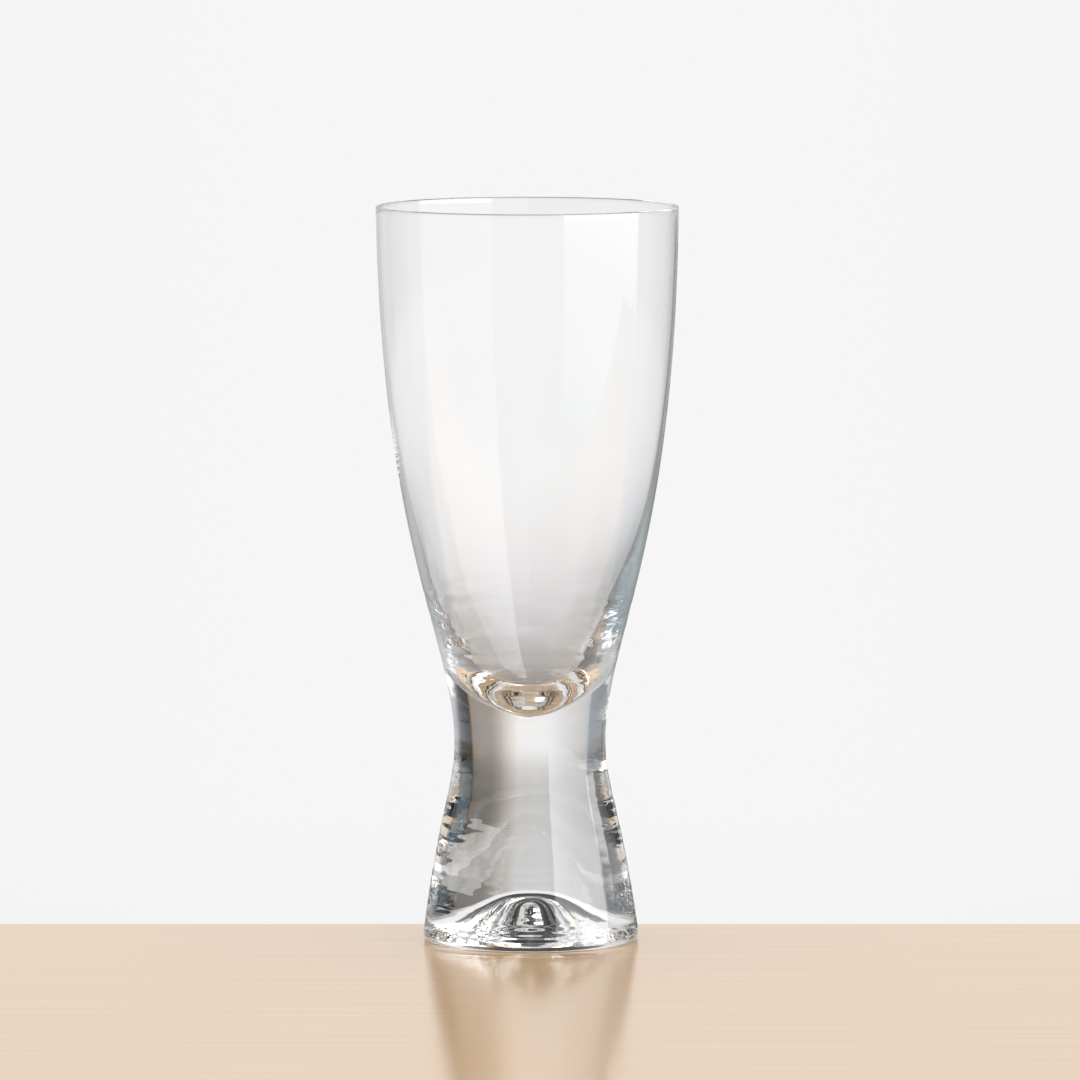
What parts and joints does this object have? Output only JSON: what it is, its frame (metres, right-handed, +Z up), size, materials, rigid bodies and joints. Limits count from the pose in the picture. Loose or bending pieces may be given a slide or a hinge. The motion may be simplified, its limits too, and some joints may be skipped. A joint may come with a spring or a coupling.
{
  "type": "footed drinking glass",
  "caption": "Tall clear drinking glass: a thin bowl tapers into a solid waisted stem that spreads into its own foot, hollow underneath.",
  "frame": {"origin": "on the table, under the middle of the foot", "axes": "+Z up along the axis of the glass, from the foot to the rim; X and Y alike, since the glass is round"},
  "size_m": [0.078, 0.078, 0.19],
  "materials": {
    "bowl_glass": "clear blown glass, fire-polished, colourless with a faint cool tint in the thick edge",
    "stem_glass": "clear solid glass, fire-polished sides, ground and polished standing ring"
  },
  "bodies": {
    "root": {"bowl": "bowl_glass", "stem_foot": "stem_glass"}
  },
  "joints": []
}
